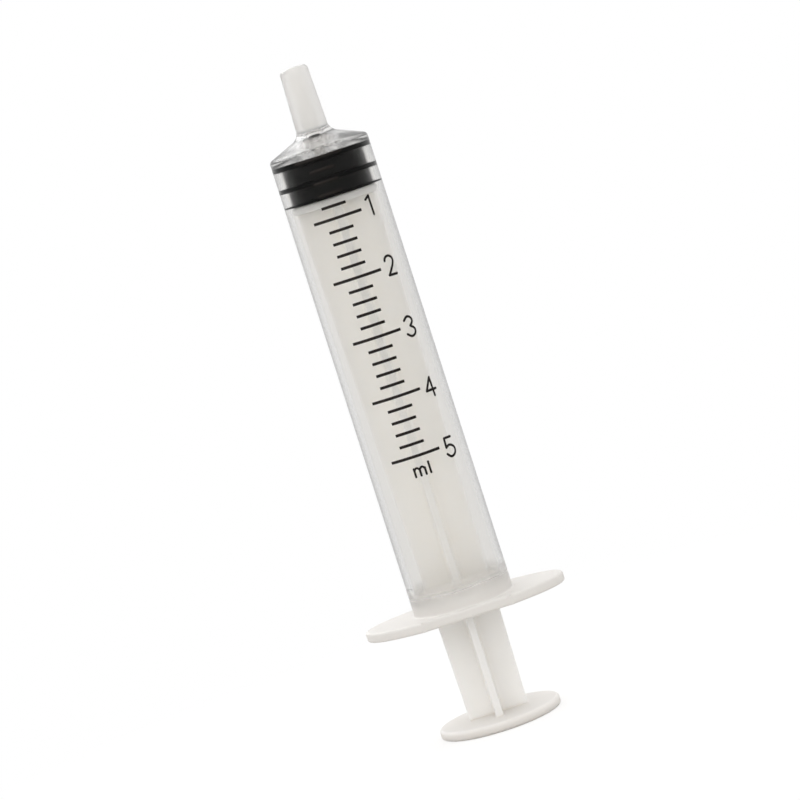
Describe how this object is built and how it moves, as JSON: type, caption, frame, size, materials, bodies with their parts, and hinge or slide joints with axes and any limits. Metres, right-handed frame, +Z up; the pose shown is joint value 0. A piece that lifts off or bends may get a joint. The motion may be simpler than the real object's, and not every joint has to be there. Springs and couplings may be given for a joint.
{
  "type": "dosing syringe",
  "caption": "Clear slip-tip dosing syringe with printed ml scale, oval finger flange, ribbed black stopper and cross-shaped plunger rod.",
  "frame": {"origin": "centre of the thumb rest's underside, on which the syringe stands", "axes": "+Z up the barrel's axis to the nozzle, X along the finger flange's two wings, the printed scale on the -Y side"},
  "size_m": [0.0282, 0.0172, 0.0936],
  "materials": {
    "barrel_plastic": "clear moulded polypropylene, slightly hazy",
    "rod_plastic": "milky moulded polypropylene",
    "stopper_rubber": "black moulded rubber, siliconed",
    "scale_ink": "black printed ink"
  },
  "bodies": {
    "plunger": {"plunger_rod": "rod_plastic"},
    "stopper": {"stopper": "stopper_rubber"},
    "barrel": {"barrel": "barrel_plastic", "scale_print": "scale_ink"}
  },
  "joints": [
    {"name": "plunger_turn", "type": "hinge", "parent": "plunger", "child": "stopper", "pos_m": [0, 0, 0.078], "axis": [0, 0, 1], "continuous": true},
    {"name": "barrel_slide", "type": "slide", "parent": "stopper", "child": "barrel", "axis": [0, 0, 1], "range_m": [0, 0.0562]}
  ]
}
